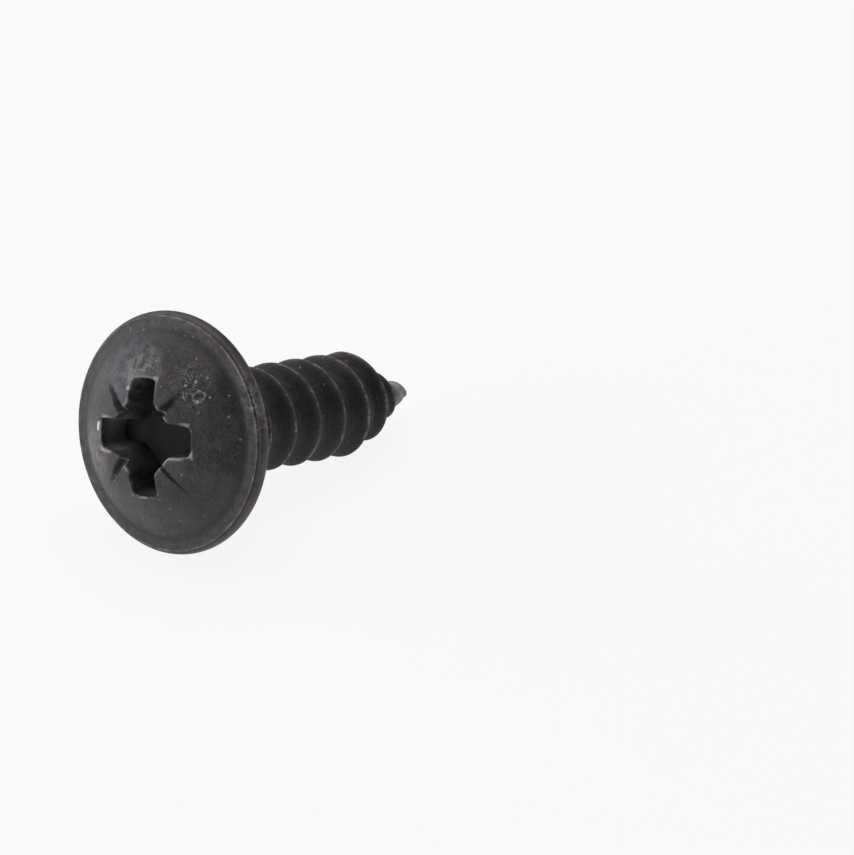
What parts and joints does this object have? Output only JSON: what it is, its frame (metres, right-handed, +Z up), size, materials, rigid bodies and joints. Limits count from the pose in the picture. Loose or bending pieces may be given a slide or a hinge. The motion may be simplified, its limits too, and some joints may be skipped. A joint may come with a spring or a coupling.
{
  "type": "self-tapping screw",
  "caption": "Self-tapping screw with a domed flange head, a type Z cross recess, a coarse thread to the head and a gimlet point, in black steel.",
  "frame": {"origin": "centre of the bottom of the bounding box, on the surface that the lying screw rests on", "axes": "+Z up, +X along the floor from the head to the point, with the screw's own axis in the XZ plane and 14.65 degrees down towards the point"},
  "size_m": [0.0132, 0.0078, 0.0076],
  "materials": {
    "black_steel": "satin"
  },
  "bodies": {
    "root": {"screw": "black_steel"}
  },
  "joints": []
}
